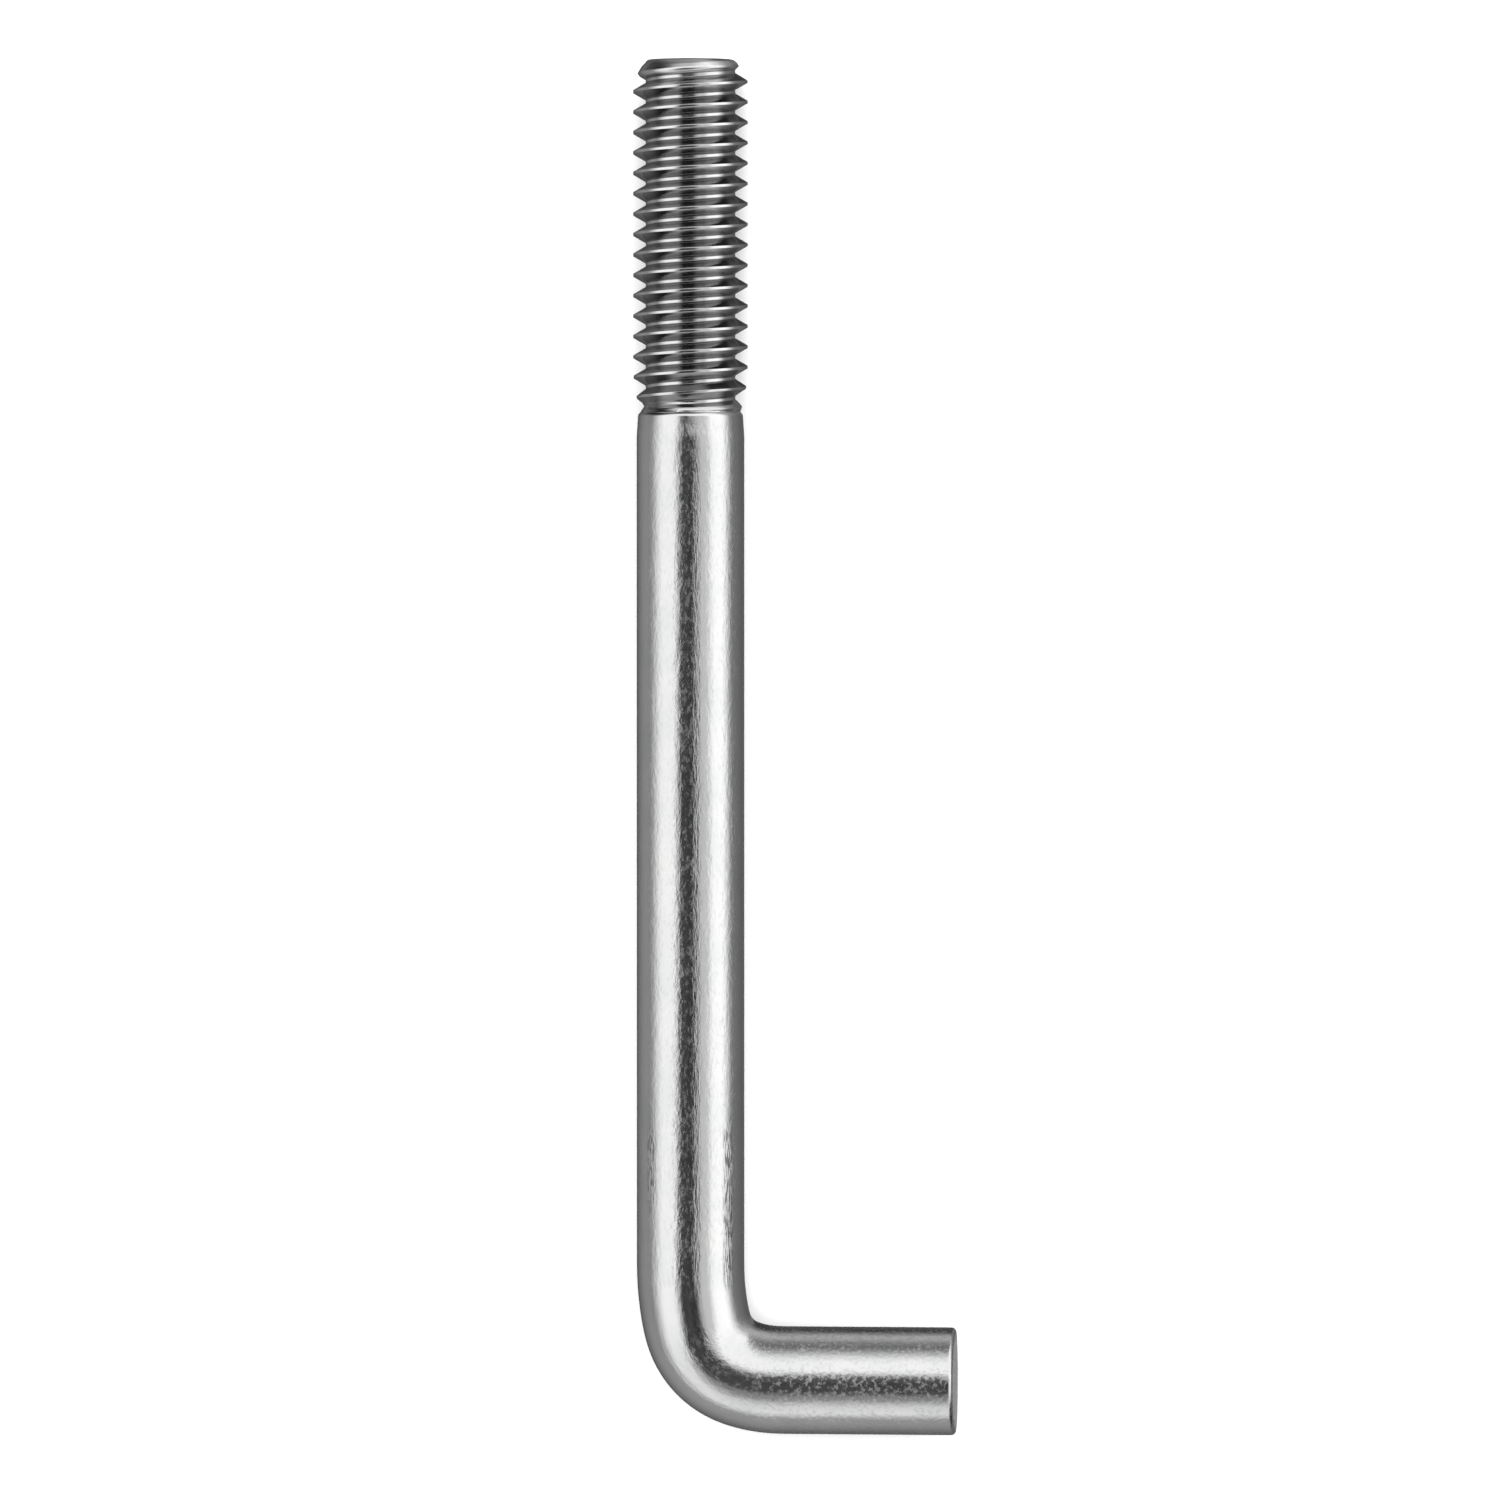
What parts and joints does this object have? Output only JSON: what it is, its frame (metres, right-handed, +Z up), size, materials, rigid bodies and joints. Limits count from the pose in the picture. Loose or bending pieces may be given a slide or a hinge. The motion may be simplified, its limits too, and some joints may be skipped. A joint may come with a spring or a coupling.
{
  "type": "l-shaped anchor bolt",
  "caption": "Zinc-plated steel L-shaped anchor bolt: a round bar with a rolled thread at one end and a right-angle hook at the other, cast into concrete to hold down a plate",
  "frame": {"origin": "middle of the footprint of the bolt lying on its side, on the surface it lies on", "axes": "+Y along the shank towards the threaded end, +X the way the hook points, +Z up from the surface"},
  "size_m": [0.0224, 0.0952, 0.0079],
  "materials": {
    "zinc_steel": "bright zinc plating over drawn mild steel"
  },
  "bodies": {
    "root": {"anchor_bolt": "zinc_steel"}
  },
  "joints": []
}
